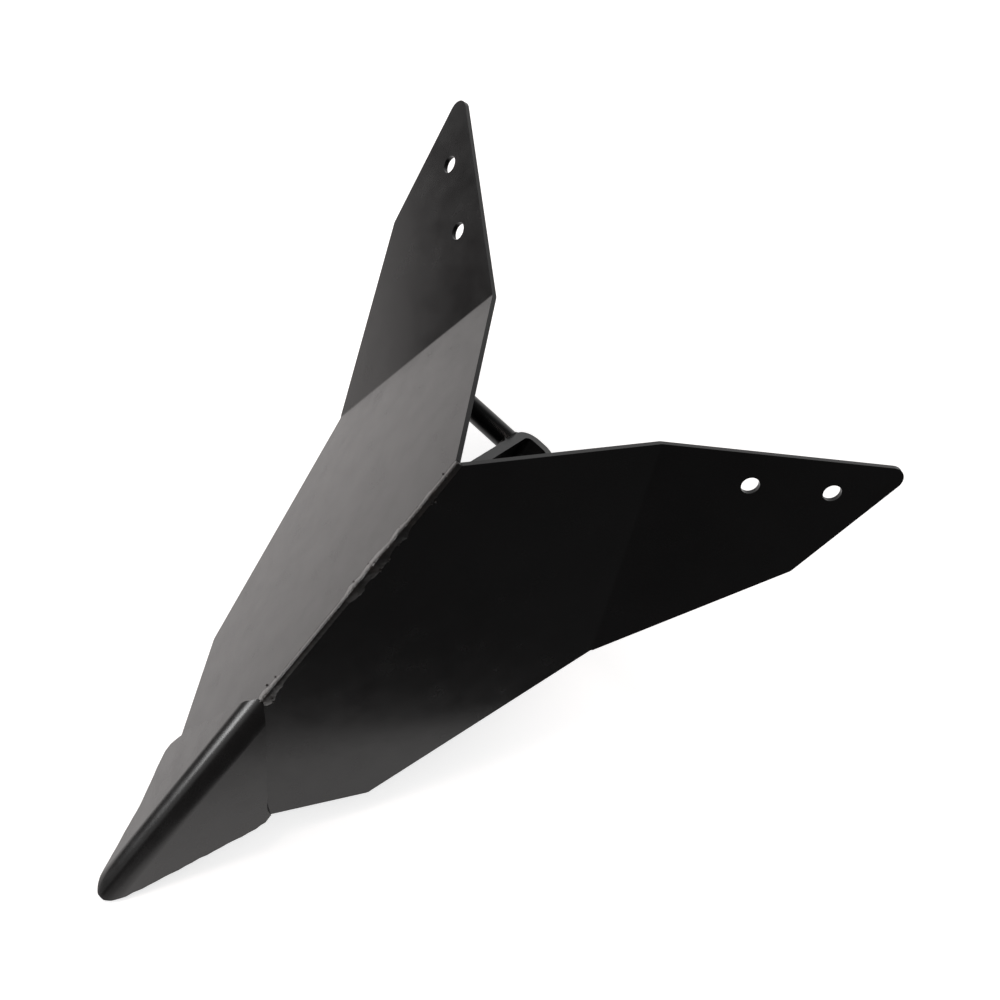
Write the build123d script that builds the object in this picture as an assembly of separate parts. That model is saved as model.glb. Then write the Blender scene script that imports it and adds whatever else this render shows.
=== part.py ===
from build123d import *
import math
import os

# Furrower body of a tiller: two folded wing plates joined along a sloping nose ridge,
# a folded shoe over the point, and a shank bracket with two brace rods inside the V.
# Origin: middle of the mouth of the slot in the shank bracket. +X right, +Y rear, +Z up.
# Lengths are millimetres and angles are degrees.

# Wing plates, measured on their outer faces
PLATE = 3.0               # thickness
RIDGE_SLOPE = 45.0        # rise of the nose ridge, from front to rear
SIDE_TURN = 52.85         # turn of a front facet from square across to straight back
RIDGE_TOP_Y = -53.0
RIDGE_TOP_Z = 79.0
TAIL_FLARE = 21.6         # outward bend of the tail facet
BEND_RADIUS = 4.0         # on the hollow side of that bend

# Corners of the front facet: away from the ridge, and up along it from its top
BEND_TOP = (107.6, 67.6)
BEND_FOOT = (189.2, -69.2)
HEEL = (117.3, -221.8)
RIDGE_FOOT = -289.4
# Corners of the tail facet: away from the bend, and up along it from its foot
TAIL_TIP = (153.2, 165.8)
TAIL_HEEL = (105.8, 82.7)
TIP_RADIUS = 8.0
CORNER_RADIUS = 4.0
HOLE_D = 11.0
HOLE_PITCH = 50.0
FIRST_HOLE = (59.0, 140.1)
HOLE_ROW_RISE = 2.9       # tilt of the row of holes from square to the bend

# Weld bead that closes the ridge down to the shoe
BEAD_SUNK = 0.3           # its crown lies this far behind the sharp ridge line

# Point shoe: a thick plate folded to the V of the wings, with its edges cut by hand
SHOE_PLATE = 5.0
SHOE_BEND = 12.0          # outside radius of the fold
SHOE_TOP = -172.0         # its ends at the fold, along the ridge
SHOE_NOSE = -338.0
# Corners of each side: away from the sharp line of the fold, and up along the ridge
SHOE_RIGHT = [(60.5, -245), (65.5, -248.5), (66, -255), (63.5, -261.5), (28.5, -314.5), (17.5, -330)]
SHOE_LEFT = [(51.5, -242.5), (57.5, -259.5), (57, -265.5), (53, -271), (36, -289.5), (15, -331.5)]
FOLD_SQUARE = 8.0         # the ends are square across the fold this far
CUT_WANDER = 0.5          # how far a cut edge wanders from a straight line
CUT_STEP = 4.5

# Shank bracket: a flat bar bent to a U and welded inside the wings
BAR = 6.0
BAR_HEIGHT = 40.0
BRACKET_WIDTH = 30.0
BRACKET_REAR = 77.6       # from the slot's middle to the outside of the bend
BRACKET_RADIUS = 12.5     # outside of the bend
BRACKET_INSIDE = 5.0      # inside of it
BRACKET_REACH = 120.0     # legs before they are cut to the wings
BRACKET_LEAN = 25.8       # lean of the slot from upright, top to the rear

# Brace rods from the bracket to the tail facets
ROD_D = 15.0
ROD_FORWARD = 19.8        # from the outside of the bracket's bend
ROD_DEPTH = 4.6           # below the bracket's top edge
FILLET = 4.0              # legs of the fillet welds
ROD_FILLET = 2.5          # round the rods on the bracket

LONG = 400.0              # longer than any cut needs


def unit(x, y, z):
    return Vector(x, y, z).normalized()


slope = math.radians(RIDGE_SLOPE)
turn = math.radians(SIDE_TURN)
UP_RIDGE = unit(0, math.cos(slope), math.sin(slope))
BEHIND = unit(0, math.sin(slope), -math.cos(slope))
ACROSS = Vector(1, 0, 0)
RIDGE_TOP = Vector(0, RIDGE_TOP_Y, RIDGE_TOP_Z)


def from_ridge(x, behind, up):
    """Point given across, square behind the ridge line and up along it."""
    return RIDGE_TOP + ACROSS * x + BEHIND * behind + UP_RIDGE * up


def side_plane(turn_deg, lead=0.0):
    """Outer face of a right-hand side: x away from the ridge, y up along it."""
    angle = math.radians(turn_deg)
    away = ACROSS * math.cos(angle) + BEHIND * math.sin(angle)
    return Plane(origin=from_ridge(0, -lead, 0), x_dir=away, z_dir=away.cross(UP_RIDGE))


FRONT = side_plane(SIDE_TURN)


def tail_plane():
    """Outer face of the right-hand tail: x away from the bend, y up along it."""
    foot = FRONT.from_local_coords(Vector(*BEND_FOOT, 0))
    along = (FRONT.from_local_coords(Vector(*BEND_TOP, 0)) - foot).normalized()
    away = along.cross(FRONT.z_dir)
    flare = math.radians(TAIL_FLARE)
    tail_away = away * math.cos(flare) + FRONT.z_dir * math.sin(flare)
    return Plane(origin=foot, x_dir=tail_away, z_dir=tail_away.cross(along))


TAIL = tail_plane()
HALF_V = math.radians(90 - SIDE_TURN)
PLATE_BEHIND = PLATE / math.sin(HALF_V)      # inner faces meet this far behind the ridge line
PLATE_START = PLATE / math.tan(HALF_V)       # square edges of the plates start this far out


def rounded(points, radii):
    """Face of a polygon whose listed corners are rounded."""
    face = make_face(Polyline(*points, close=True))
    for point, radius in radii:
        corner = face.vertices().sort_by_distance(Vector(*point))[0]
        face = fillet(corner, radius)
    return face


def edge_at(start, end, x):
    """Height of a straight edge at a distance x."""
    return start[1] + (end[1] - start[1]) * (x - start[0]) / (end[0] - start[0])


def front_facet(setback):
    away = TAIL.y_dir.cross(FRONT.z_dir)
    step = FRONT.to_local_coords(FRONT.origin + away * setback)
    bend_top = (BEND_TOP[0] - step.X, BEND_TOP[1] - step.Y)
    bend_foot = (BEND_FOOT[0] - step.X, BEND_FOOT[1] - step.Y)
    top = (PLATE_START, edge_at((0, 0), BEND_TOP, PLATE_START))
    foot = (PLATE_START, edge_at((0, RIDGE_FOOT), HEEL, PLATE_START))
    outline = rounded([top, bend_top, bend_foot, HEEL, foot], [(HEEL, CORNER_RADIUS)])
    return extrude(FRONT * outline, amount=PLATE, dir=-FRONT.z_dir)


def tail_facet(setback, bend_length):
    points = [(setback, 0), (setback, bend_length), TAIL_TIP, TAIL_HEEL]
    outline = rounded(points, [(TAIL_TIP, TIP_RADIUS), (TAIL_HEEL, CORNER_RADIUS)])
    rise = math.radians(HOLE_ROW_RISE)
    for n in range(2):
        x = FIRST_HOLE[0] + n * HOLE_PITCH * math.cos(rise)
        y = FIRST_HOLE[1] + n * HOLE_PITCH * math.sin(rise)
        outline -= Pos(x, y) * Circle(HOLE_D / 2)
    return extrude(TAIL * outline, amount=PLATE, dir=-TAIL.z_dir)


def bend_strip(setback, bend_length):
    """The curved strip between the two facets, hollow on the outside."""
    start = TAIL.origin - TAIL.y_dir.cross(FRONT.z_dir) * setback
    section = Plane(origin=start, x_dir=TAIL.y_dir, z_dir=TAIL.y_dir.cross(FRONT.z_dir))
    strip = Pos(bend_length / 2, -PLATE / 2) * Rectangle(bend_length, PLATE)
    axis = Axis(start + FRONT.z_dir * BEND_RADIUS, -TAIL.y_dir)
    return revolve(section * strip, axis=axis, revolution_arc=TAIL_FLARE)


def right_wing():
    setback = BEND_RADIUS * math.tan(math.radians(TAIL_FLARE) / 2)
    bend_length = math.dist(BEND_TOP, BEND_FOOT)
    return front_facet(setback) + bend_strip(setback, bend_length) + tail_facet(setback, bend_length)


def along_ridge(section, low, high):
    """Prism along the ridge whose section is drawn across and behind the ridge line."""
    return extrude(Plane(origin=from_ridge(0, 0, low), x_dir=ACROSS, z_dir=UP_RIDGE) * section, amount=high - low)


def ridge_weld():
    """Bead that fills the notch between the square plate edges, from their top corners to the shoe."""
    shoulder = (PLATE_START * math.cos(turn), PLATE_START * math.sin(turn))
    opposite = (-shoulder[0], shoulder[1])
    crown = ThreePointArc(shoulder, (0, BEAD_SUNK), opposite)
    notch = Polyline(opposite, (0, PLATE_BEHIND), shoulder)
    return along_ridge(make_face(crown + notch), SHOE_TOP, edge_at((0, 0), BEND_TOP, PLATE_START))


def fold_arc(radius, lead):
    """Half of a rounded fold whose sharp line would lie ahead of the ridge line: its crest, middle and end."""
    centre = radius / math.sin(HALF_V) - lead
    return [(radius * math.sin(a), centre - radius * math.cos(a)) for a in (0, turn / 2, turn)]


def shoe_section(lead):
    """Right half of the folded plate. Its inside lies on the wing and bridges the notch at the ridge."""
    outside = fold_arc(SHOE_BEND, lead)
    inside = fold_arc(PLATE, 0)
    reach = 70.0
    side = Polyline(outside[2], (reach, reach * math.tan(turn) - lead), (reach, reach * math.tan(turn)), inside[2])
    return make_face(ThreePointArc(*outside) + side + ThreePointArc(*inside) + Line(inside[0], outside[0]))


def hand_cut(corners):
    """Points along the straight lines between corners, each shifted a little by the unsteady cut."""
    points = [corners[0]]
    for start, end in zip(corners, corners[1:]):
        length = math.dist(start, end)
        steps = max(1, round(length / CUT_STEP))
        out = ((end[1] - start[1]) / length, (start[0] - end[0]) / length)
        for n in range(1, steps):
            wander = CUT_WANDER * math.sin(2.1 * len(points)) * math.cos(0.7 * len(points))
            x, y = [a + (b - a) * n / steps + wander * o for a, b, o in zip(start, end, out)]
            points.append((x, y))
        points.append(end)
    return points


def shoe_half(corners, side):
    """One side of the shoe, cut square to its face and ending at the centre plane."""
    lead = SHOE_PLATE / math.sin(HALF_V)
    folded = along_ridge(shoe_section(lead), SHOE_NOSE - 20, SHOE_TOP + 20)
    edge = hand_cut([(FOLD_SQUARE, SHOE_TOP)] + corners + [(FOLD_SQUARE, SHOE_NOSE)])
    outline = make_face(Polyline((0, SHOE_TOP), *edge, (0, SHOE_NOSE), close=True))
    half = folded & extrude(side_plane(SIDE_TURN, lead) * outline, amount=60, both=True)
    return half if side > 0 else mirror(half, about=Plane.YZ)


def point_shoe():
    return shoe_half(SHOE_RIGHT, 1) + shoe_half(SHOE_LEFT, -1)


def inside_wings():
    """The space between the inner faces of the two front facets."""
    reach = 200.0
    far = PLATE_BEHIND + reach * math.tan(turn)
    return along_ridge(make_face(Polyline((0, PLATE_BEHIND), (reach, far), (-reach, far), close=True)), -LONG, LONG)


lean = math.radians(BRACKET_LEAN)
SLOT = Plane(origin=(0, 0, 0), x_dir=(1, 0, 0), z_dir=(0, math.sin(lean), math.cos(lean)))


def shank_bracket():
    outer = Rectangle(BRACKET_WIDTH, BRACKET_REAR + BRACKET_REACH, align=(Align.CENTER, Align.MAX))
    outer = fillet(outer.vertices().group_by(Axis.Y)[-1], BRACKET_RADIUS)
    inner = Rectangle(BRACKET_WIDTH - 2 * BAR, BRACKET_REAR + BRACKET_REACH, align=(Align.CENTER, Align.MAX))
    inner = fillet(inner.vertices().group_by(Axis.Y)[-1], BRACKET_INSIDE)
    outline = Pos(0, BRACKET_REAR) * outer - Pos(0, BRACKET_REAR - BAR) * inner
    bar = extrude(SLOT * outline, amount=BAR_HEIGHT, dir=-SLOT.z_dir)
    return bar & inside_wings()


def rod_centre(x):
    return SLOT.from_local_coords(Vector(x, BRACKET_REAR - ROD_FORWARD, -ROD_DEPTH))


def up_to_tail(solid):
    """Cut a right-hand solid off at the inner face of the tail facet."""
    inner_face = Plane(origin=TAIL.origin - TAIL.z_dir * PLATE, z_dir=TAIL.z_dir)
    return split(solid, bisect_by=inner_face, keep=Keep.BOTTOM)


def rod_end_x():
    """Where the rod's middle line meets the inner face of the tail facet."""
    start = rod_centre(0)
    gap = (TAIL.origin - TAIL.z_dir * PLATE - start).dot(TAIL.z_dir)
    return gap / TAIL.z_dir.X


def right_rod():
    start = rod_centre(BRACKET_WIDTH / 2)
    rod = Plane(origin=start, z_dir=(1, 0, 0)) * Cylinder(ROD_D / 2, LONG, align=(Align.CENTER,) * 2 + (Align.MIN,))
    return up_to_tail(rod)


def collar(x, wide, narrow, length):
    """Cone of weld round the rod, starting at x."""
    plane = Plane(origin=rod_centre(x), z_dir=(1, 0, 0))
    low = (Align.CENTER, Align.CENTER, Align.MIN)
    core = Cylinder(ROD_D / 2, length, align=low)
    return plane * (Cone(wide, narrow, length, align=low) - core)


def rod_bracket_weld():
    """Fillet round the rod, where it lies on the side of the bar."""
    weld = collar(BRACKET_WIDTH / 2, ROD_D / 2 + ROD_FILLET, ROD_D / 2, ROD_FILLET)
    face = SLOT * Pos(0, 0, -BAR_HEIGHT / 2) * Box(LONG, LONG, BAR_HEIGHT)
    return weld & face


def rod_wing_weld():
    end = rod_end_x()
    spread = 12.0
    return up_to_tail(collar(end - spread, ROD_D / 2, ROD_D / 2 + FILLET, 2 * spread))


def bracket_weld():
    """Fillet between the outside of a bracket leg and the inner face of the wing."""
    x = BRACKET_WIDTH / 2
    corner = (x, PLATE_BEHIND + x * math.tan(turn))
    on_leg = (x, corner[1] + 2 * FILLET)
    on_wing = (x + 1.5 * FILLET * math.cos(turn), corner[1] + 1.5 * FILLET * math.sin(turn))
    # the leg meets the wing between its top and bottom edges
    top = leg_end_up(corner[1], 0)
    foot = leg_end_up(corner[1], BAR_HEIGHT)
    return along_ridge(make_face(Polyline(corner, on_leg, on_wing, close=True)), foot + FILLET, top - FILLET)


def leg_end_up(behind, depth):
    """Place along the ridge of a bracket edge, at a distance behind the ridge line."""
    edge = SLOT.from_local_coords(Vector(0, 0, -depth)) - RIDGE_TOP
    step = (behind - edge.dot(BEHIND)) / SLOT.y_dir.dot(BEHIND)
    return edge.dot(UP_RIDGE) + step * SLOT.y_dir.dot(UP_RIDGE)


def shoe_weld():
    """Fillet inside the point, between the lower edge of the wing and the shoe."""
    start, end = [Vector(x, edge_at((0, RIDGE_FOOT), HEEL, x), 0) for x in (12, 44)]
    first = FRONT.from_local_coords(start)
    along = (FRONT.from_local_coords(end) - first).normalized()
    section = Plane(origin=first, x_dir=along.cross(FRONT.z_dir), z_dir=along)
    triangle = Polyline((0, 0), (0, PLATE), (FILLET, 0), close=True)
    return extrude(section * make_face(triangle), amount=(end - start).length, dir=along)


def both_sides(name, solid):
    return {name + "_right": solid, name + "_left": mirror(solid, about=Plane.YZ)}


parts = {}
wing = right_wing()
parts["wing_plate_right"] = wing
parts["wing_plate_left"] = mirror(wing, about=Plane.YZ)
parts["ridge_weld"] = ridge_weld()
parts["point_shoe"] = point_shoe()
parts["shank_bracket"] = shank_bracket()
parts.update(both_sides("brace_rod", right_rod()))
parts.update(both_sides("rod_bracket_weld", rod_bracket_weld()))
parts.update(both_sides("rod_wing_weld", rod_wing_weld()))
parts.update(both_sides("bracket_weld", bracket_weld()))
parts.update(both_sides("shoe_weld", shoe_weld()))

os.makedirs("parts", exist_ok=True)
for name, solid in parts.items():
    export_step(solid, "parts/" + name + ".step")
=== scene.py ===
import math
import random

import bmesh
import bpy
from mathutils import Matrix, Vector, noise


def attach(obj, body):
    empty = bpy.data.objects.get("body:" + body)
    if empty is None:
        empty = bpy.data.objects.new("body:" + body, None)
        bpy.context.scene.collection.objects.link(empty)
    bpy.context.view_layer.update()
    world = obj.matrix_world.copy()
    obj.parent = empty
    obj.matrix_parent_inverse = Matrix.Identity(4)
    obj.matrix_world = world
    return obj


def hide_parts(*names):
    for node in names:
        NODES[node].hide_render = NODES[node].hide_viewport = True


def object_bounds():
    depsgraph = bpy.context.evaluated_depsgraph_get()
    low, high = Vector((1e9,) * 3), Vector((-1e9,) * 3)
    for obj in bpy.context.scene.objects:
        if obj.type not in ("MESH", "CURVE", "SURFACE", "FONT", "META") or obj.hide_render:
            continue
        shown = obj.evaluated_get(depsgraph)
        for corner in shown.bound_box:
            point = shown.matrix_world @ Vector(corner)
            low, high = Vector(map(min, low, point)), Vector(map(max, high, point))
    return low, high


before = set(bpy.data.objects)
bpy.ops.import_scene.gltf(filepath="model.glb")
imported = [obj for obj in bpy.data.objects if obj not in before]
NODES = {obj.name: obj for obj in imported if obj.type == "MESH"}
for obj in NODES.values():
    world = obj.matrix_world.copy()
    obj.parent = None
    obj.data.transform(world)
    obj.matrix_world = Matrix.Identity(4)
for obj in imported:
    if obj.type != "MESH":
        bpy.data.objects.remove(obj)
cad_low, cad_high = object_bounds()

# The camera, as solved from the photograph, in metres
CAMERA_AT = Vector((0.10411, -0.30597, 0.52125))
CAMERA_RIGHT = Vector((0.729337, 0.638575, 0.245540))
CAMERA_DOWN = Vector((0.668237, -0.587942, -0.455834))
CAMERA_AHEAD = Vector((-0.146721, 0.496535, -0.855527))
CAMERA_LENS = 37.13
CAMERA_SENSOR = 36.0

# The ridge between the wings, as in the CAD
RIDGE_TOP = Vector((0, -0.053, 0.079))
UP_RIDGE = Vector((0, 1, 1)).normalized()
BEHIND = Vector((0, 1, -1)).normalized()
SIDE_TURN = math.radians(52.85)

FLOOR_Z = cad_low.z
FLOOR_LIFT = 0.55         # what the camera sees the pale floor lifted by
SKY = 0.50                # light from all round
DARK = 0.10               # what the dark cards look like in a reflection


class Nodes:
    """Short calls for building one material's node tree."""

    def __init__(self, name):
        self.material = bpy.data.materials.new(name)
        self.material.use_nodes = True
        self.tree = self.material.node_tree
        self.shader = self.tree.nodes["Principled BSDF"]
        self.position = self.add("ShaderNodeTexCoord").outputs["Object"]

    def add(self, kind, **values):
        node = self.tree.nodes.new(kind)
        for key, value in values.items():
            setattr(node, key, value)
        return node

    def link(self, source, target):
        self.tree.links.new(source, target)

    def noise(self, scale, detail=3.0, roughness=0.55, stretch=(1, 1, 1)):
        mapping = self.add("ShaderNodeMapping")
        mapping.inputs["Scale"].default_value = stretch
        self.link(self.position, mapping.inputs["Vector"])
        node = self.add("ShaderNodeTexNoise")
        node.inputs["Scale"].default_value = scale
        node.inputs["Detail"].default_value = detail
        node.inputs["Roughness"].default_value = roughness
        self.link(mapping.outputs["Vector"], node.inputs["Vector"])
        return node.outputs["Fac"]

    def ramp(self, source, low, high, start, end):
        """source from low to high becomes start to end."""
        node = self.add("ShaderNodeMapRange")
        node.inputs["From Min"].default_value = low
        node.inputs["From Max"].default_value = high
        node.inputs["To Min"].default_value = start
        node.inputs["To Max"].default_value = end
        self.link(source, node.inputs["Value"])
        return node.outputs["Result"]

    def mix_colours(self, factor, first, second):
        node = self.add("ShaderNodeMix", data_type="RGBA")
        self.link(factor, node.inputs["Factor"])
        for socket, value in ((node.inputs[6], first), (node.inputs[7], second)):
            if isinstance(value, tuple):
                socket.default_value = (*value, 1.0)
            else:
                self.link(value, socket)
        return node.outputs[2]

    def bump(self, height, distance, strength=1.0, after=None):
        node = self.add("ShaderNodeBump")
        node.inputs["Distance"].default_value = distance
        node.inputs["Strength"].default_value = strength
        self.link(height, node.inputs["Height"])
        if after is not None:
            self.link(after, node.inputs["Normal"])
        return node.outputs["Normal"]


def black_paint(name, colour, roughness, orange_peel, waves, gloss):
    """Sprayed black paint: a faint orange peel, slow waves over the sheet and fine dust."""
    m = Nodes(name)
    dark = tuple(c * 0.8 for c in colour)
    light = tuple(c * 1.25 for c in colour)
    cloud = m.mix_colours(m.ramp(m.noise(14.0, 4.0), 0.35, 0.65, 0, 1), dark, light)
    dust = m.ramp(m.noise(1400.0, 1.0), 0.74, 0.80, 0, 1)
    m.link(m.mix_colours(dust, cloud, tuple(c * 3 for c in colour)), m.shader.inputs["Base Color"])
    m.link(m.ramp(m.noise(60.0, 3.0), 0.3, 0.7, roughness - 0.03, roughness + 0.04), m.shader.inputs["Roughness"])
    slow = m.bump(m.noise(9.0, 2.0), waves)
    fine = m.bump(m.noise(900.0, 2.0), orange_peel, after=slow)
    m.link(fine, m.shader.inputs["Normal"])
    m.shader.inputs["Specular IOR Level"].default_value = gloss
    return m.material


def weld_paint():
    """Thin paint over a rough bead with spatter, brown where it burnt; its light grain specks are painted highlights.
    """
    m = Nodes("weld_black")
    grain_and_glints = m.noise(1500.0, 3.0, 0.7)
    burnt = m.mix_colours(m.ramp(m.noise(160.0, 3.0), 0.40, 0.62, 0, 1), (0.0045, 0.0038, 0.0034), (0.012, 0.009, 0.0075))
    # the light specks mixed into the colour here are painted highlights, glints painted on rather than lit
    m.link(m.mix_colours(m.ramp(grain_and_glints, 0.62, 0.74, 0, 1), burnt, (0.05, 0.045, 0.042)), m.shader.inputs["Base Color"])
    m.link(m.ramp(grain_and_glints, 0.3, 0.7, 0.24, 0.40), m.shader.inputs["Roughness"])
    m.link(m.bump(grain_and_glints, 0.00008), m.shader.inputs["Normal"])
    m.shader.inputs["Specular IOR Level"].default_value = 0.5
    return m.material


WING = black_paint("wing_black", (0.0032, 0.0029, 0.0030), 0.24, 0.000006, 0.0002, gloss=0.30)
SHOE = black_paint("shoe_black", (0.0036, 0.0032, 0.0032), 0.26, 0.00001, 0.0003, gloss=0.35)
BAR = black_paint("bracket_black", (0.0060, 0.0056, 0.0058), 0.36, 0.00002, 0.0003, gloss=0.5)
ROD = black_paint("rod_black", (0.0050, 0.0048, 0.0050), 0.32, 0.00002, 0.0002, gloss=0.4)
WELD = weld_paint()


def paint(piece, material):
    piece.data.materials.clear()
    piece.data.materials.append(material)


def soften_edges(piece, width):
    """The small round that paint and deburring leave along a sharp edge."""
    bevel = piece.modifiers.new("edges", "BEVEL")
    bevel.width = width
    bevel.segments = 2
    bevel.limit_method = "ANGLE"
    bevel.angle_limit = math.radians(35)
    bevel.harden_normals = True


def dress_nodes():
    finish = {"wing_plate": WING, "brace_rod": ROD, "point_shoe": SHOE, "shank_bracket": BAR}
    for name, piece in NODES.items():
        paint(piece, next((m for key, m in finish.items() if name.startswith(key)), WELD))
        if not name.startswith("brace_rod") and "weld" not in name:
            soften_edges(piece, 0.0004)


def on_ridge(x, behind, up):
    """Point across, square behind the ridge line and up along it."""
    return RIDGE_TOP + Vector((x, 0, 0)) + BEHIND * behind + UP_RIDGE * up


def on_side(side, away, up, out=0.0):
    """Point on the outer face of a wing: away from the ridge line, up along it and out from the face."""
    x = away * math.cos(SIDE_TURN) + out * math.sin(SIDE_TURN)
    return on_ridge(side * x, away * math.sin(SIDE_TURN) - out * math.cos(SIDE_TURN), up)


# The ridge bead: from its top end down to the shoe
BEAD_TOP, BEAD_FOOT = 0.0024, -0.1735
BEAD_STEP = 0.0006
BEAD_HALF = 0.0027        # half its width
BEAD_ROUND = 0.0011       # how blunt its crest is
# Rough places along it: place, half length, extra width and extra height
SWELLS = [(-0.0215, 0.0040, 0.0003, 0.0003), (-0.0470, 0.0045, 0.0010, 0.0009), (-0.0660, 0.0070, 0.0013, 0.0010),
          (-0.0745, 0.0040, 0.0008, 0.0008), (-0.0870, 0.0060, 0.0014, 0.0010), (-0.1600, 0.0050, 0.0006, 0.0006),
          (-0.1700, 0.0050, 0.0017, 0.0012)]
# Drops of spatter beside it: side, distance from the ridge line, place along it and radius
SPATTER = [(1, 0.0052, -0.0215, 0.0008), (1, 0.0042, -0.0235, 0.0006), (1, 0.0046, -0.0520, 0.0006),
           (1, 0.0056, -0.0615, 0.0009), (1, 0.0062, -0.0630, 0.0006), (1, 0.0060, -0.0700, 0.0008),
           (1, 0.0044, -0.0760, 0.0005), (1, 0.0050, -0.0880, 0.0007), (1, 0.0048, -0.1680, 0.0008),
           (1, 0.0068, -0.1700, 0.0006), (-1, 0.0052, -0.0080, 0.0006), (-1, 0.0050, -0.0450, 0.0006),
           (-1, 0.0062, -0.0720, 0.0005), (-1, 0.0060, -0.0850, 0.0007), (-1, 0.0066, -0.1580, 0.0006),
           (-1, 0.0080, -0.1660, 0.0008)]


def swell(up, column):
    """Extra width (column 2) or height (column 3) of the bead at a place along it."""
    return sum(s[column] * math.exp(-((up - s[0]) / s[1]) ** 2) for s in SWELLS)


def bead_row(up, across):
    """One cross section of the bead, from its left toe to its right one."""
    rough = swell(up, 3)
    settle = min(1.0, max(0.0, (BEAD_TOP - up) / 0.012))
    row = []
    for n in range(-across, across + 1):
        t = n / across
        edge = 0.0005 * noise.noise(Vector((up * 420, 5.0 * (n > 0), 0)))
        half = BEAD_HALF + settle * (swell(up, 2) + edge)
        x = t * half
        wedge = math.hypot(x * math.tan(SIDE_TURN), BEAD_ROUND)
        body = 1 - t * t
        ripple = math.sin(2 * math.pi * (up + 0.4 * abs(x)) / 0.0031)
        grain = noise.fractal(Vector((x * 700, up * 700, 3.0)), 1.0, 2.0, 3)
        lift = 0.0006 + rough + settle * (0.00008 * ripple + (0.00012 + 0.30 * rough) * grain)
        row.append(on_ridge(x, wedge - lift * body + 0.00012 * t * t, up))
    return row


def ridge_bead():
    """The weld along the ridge, with its ripples, rough swells and drops of spatter."""
    mesh = bmesh.new()
    across = 9
    rows = []
    steps = round((BEAD_TOP - BEAD_FOOT) / BEAD_STEP)
    for i in range(steps + 1):
        up = BEAD_FOOT + (BEAD_TOP - BEAD_FOOT) * i / steps
        rows.append([mesh.verts.new(p) for p in bead_row(up, across) + [on_ridge(0, 0.0046, up)]])
    for low, high in zip(rows, rows[1:]):
        count = len(low)
        for n in range(count):
            m = (n + 1) % count
            mesh.faces.new((low[n], low[m], high[m], high[n]))
    mesh.faces.new(rows[0][::-1])
    mesh.faces.new(rows[-1])
    draws = random.Random(7)
    for side, away, up, radius in SPATTER:
        drop = bmesh.ops.create_icosphere(mesh, subdivisions=2, radius=radius)["verts"]
        centre = on_side(side, away, up, 0.1 * radius)
        squeeze = Vector([draws.uniform(0.75, 1.1) for _ in range(3)])
        for v in drop:
            bump = 1 + 0.25 * noise.noise(v.co * 1500 + centre * 900)
            v.co = centre + v.co * squeeze * bump
    bmesh.ops.recalc_face_normals(mesh, faces=mesh.faces)
    for face in mesh.faces:
        face.smooth = True
    return add_piece("ridge_bead", mesh, WELD, "weld_paint", "ridge_weld")


def add_piece(name, mesh, material, slot, *replaced):
    data = bpy.data.meshes.new(name)
    mesh.to_mesh(data)
    mesh.free()
    piece = bpy.data.objects.new(name, data)
    bpy.context.scene.collection.objects.link(piece)
    paint(piece, material)
    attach(piece, "root")
    if replaced:
        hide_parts(*replaced)
    return piece


def seen_directly(tree):
    """1 for what the camera sees, also in gloss or through glass."""
    path = tree.nodes.new("ShaderNodeLightPath")
    both = tree.nodes.new("ShaderNodeMath")
    tree.links.new(path.outputs["Is Camera Ray"], both.inputs[0])
    tree.links.new(path.outputs["Is Glossy Ray"], both.inputs[1])
    every = tree.nodes.new("ShaderNodeMath")
    every.use_clamp = True
    tree.links.new(both.outputs[0], every.inputs[0])
    tree.links.new(path.outputs["Is Transmission Ray"], every.inputs[1])
    return every.outputs[0]


def floor_paint():
    """Pale floor. Seen directly it is lifted to white, and it keeps the object's shadow."""
    m = Nodes("floor_pale")
    m.shader.inputs["Base Color"].default_value = (0.90, 0.90, 0.90, 1)
    m.shader.inputs["Roughness"].default_value = 0.9
    m.shader.inputs["Specular IOR Level"].default_value = 0.0
    m.shader.inputs["Emission Color"].default_value = (1, 1, 1, 1)
    m.link(m.ramp(seen_directly(m.tree), 0, 1, 0, FLOOR_LIFT), m.shader.inputs["Emission Strength"])
    return m.material


def make_floor():
    bpy.ops.mesh.primitive_plane_add(size=8.0, location=(0, 0, FLOOR_Z - 0.0005))
    floor = bpy.context.object
    floor.name = "floor"
    paint(floor, floor_paint())


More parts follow.
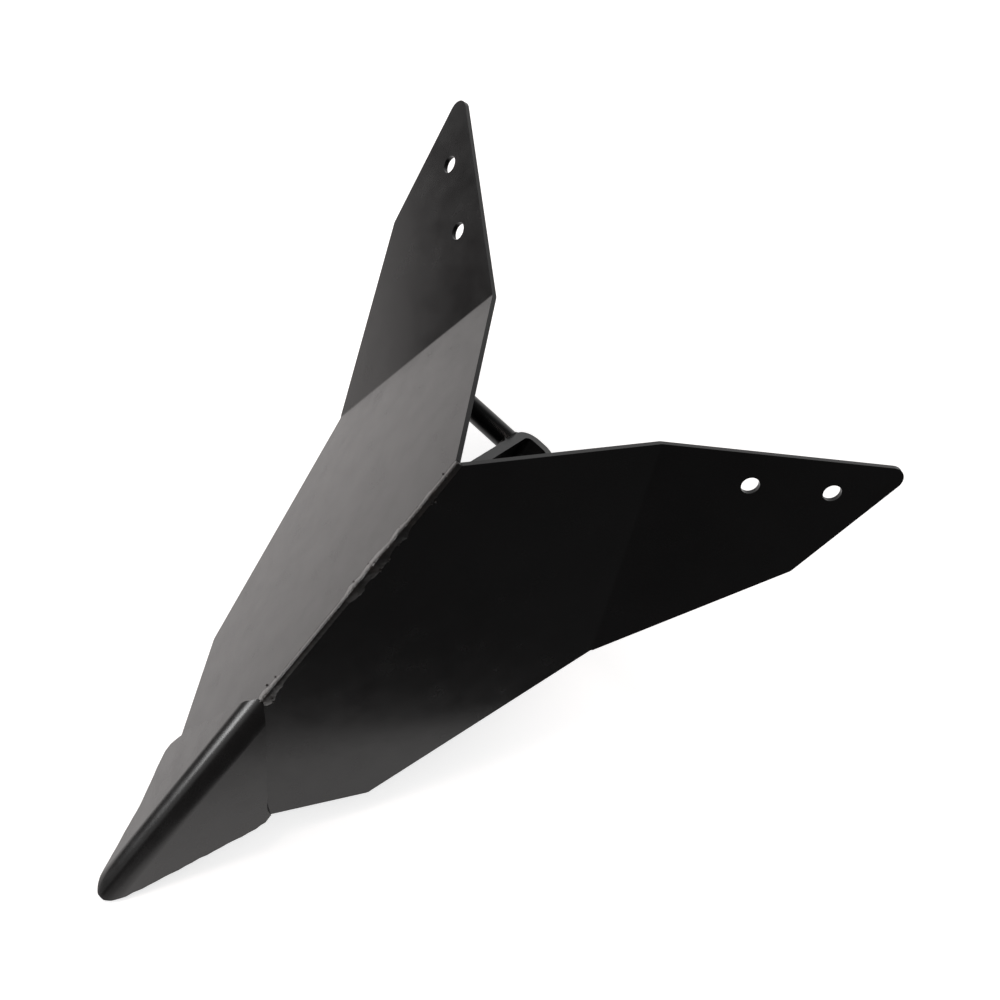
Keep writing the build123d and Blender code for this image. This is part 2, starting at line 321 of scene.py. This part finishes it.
def make_cards():
    """Dark cards round the set, which only gloss reflects, as a studio sets them up for black paint."""
    m = Nodes("card_dark")
    m.shader.inputs["Base Color"].default_value = (0, 0, 0, 1)
    m.shader.inputs["Specular IOR Level"].default_value = 0.0
    m.shader.inputs["Emission Color"].default_value = (1, 1, 1, 1)
    m.shader.inputs["Emission Strength"].default_value = DARK
    low = FLOOR_Z + 0.002
    cards = {
        "card_left": [(0.00, -0.30, low), (-2.00, 0.47, low), (-2.0, -1.5, low), (0.0, -1.5, low)],
        "card_right": [(0.14, -1.20, low), (0.24, 1.20, low), (1.6, 1.2, low), (1.6, -1.2, low)],
        "card_side": [(0.95, -1.60, low), (0.95, 1.20, low), (0.95, 1.20, 0.6), (0.95, -1.6, 0.6)],
        "card_front": [(-0.25, -1.20, low), (0.95, -1.20, low), (0.95, -1.20, 0.5), (-0.25, -1.2, 0.5)],
        "card_over": [(-1.5, -1.5, 0.65), (1.5, -1.5, 0.65), (1.5, 1.1, 0.65), (-1.5, 1.1, 0.65)],
    }
    for name, corners in cards.items():
        data = bpy.data.meshes.new(name)
        data.from_pydata(corners, [], [range(4)])
        card = bpy.data.objects.new(name, data)
        bpy.context.scene.collection.objects.link(card)
        paint(card, m.material)
        card.visible_camera = False
        card.visible_diffuse = False
        card.visible_shadow = False


def area_light(name, at, aim, size, power, size_y=None, colour=(1, 1, 1)):
    data = bpy.data.lights.new(name, "AREA")
    data.energy = power
    data.color = colour
    data.size = size
    if size_y:
        data.shape = "RECTANGLE"
        data.size_y = size_y
    lamp = bpy.data.objects.new(name, data)
    bpy.context.scene.collection.objects.link(lamp)
    lamp.location = at
    lamp.rotation_mode = "QUATERNION"
    lamp.rotation_quaternion = (Vector(aim) - Vector(at)).to_track_quat("-Z", "Y")
    return lamp


def make_world():
    world = bpy.data.worlds.new("studio")
    world.use_nodes = True
    bpy.context.scene.world = world
    tree = world.node_tree
    background = tree.nodes["Background"]
    background.inputs["Color"].default_value = (1, 1, 1, 1)
    level = tree.nodes.new("ShaderNodeMapRange")
    level.inputs["To Min"].default_value = SKY
    level.inputs["To Max"].default_value = 1.0
    tree.links.new(seen_directly(tree), level.inputs["Value"])
    tree.links.new(level.outputs["Result"], background.inputs["Strength"])


def make_camera():
    data = bpy.data.cameras.new("camera")
    data.sensor_width = CAMERA_SENSOR
    data.lens = CAMERA_LENS
    data.clip_start = 0.01
    camera = bpy.data.objects.new("camera", data)
    bpy.context.scene.collection.objects.link(camera)
    axes = Matrix((CAMERA_RIGHT, -CAMERA_DOWN, -CAMERA_AHEAD)).transposed()
    camera.matrix_world = Matrix.Translation(CAMERA_AT) @ axes.to_4x4()
    bpy.context.scene.camera = camera


make_camera()
dress_nodes()
ridge_bead()

make_floor()
make_cards()
make_world()
# a soft lamp over the left, which makes a pool of light on the floor there
area_light("pool", (-0.40, -0.10, 0.60), (-0.20, -0.08, FLOOR_Z), 0.40, 3.5, colour=(1.0, 0.86, 0.82))
# a low panel in front on the left, which draws the light line along the folds
area_light("window", (-0.75, -0.95, 0.02), (0, -0.2, -0.05), 0.40, 6, 0.22)

bpy.context.scene.view_settings.view_transform = "Standard"
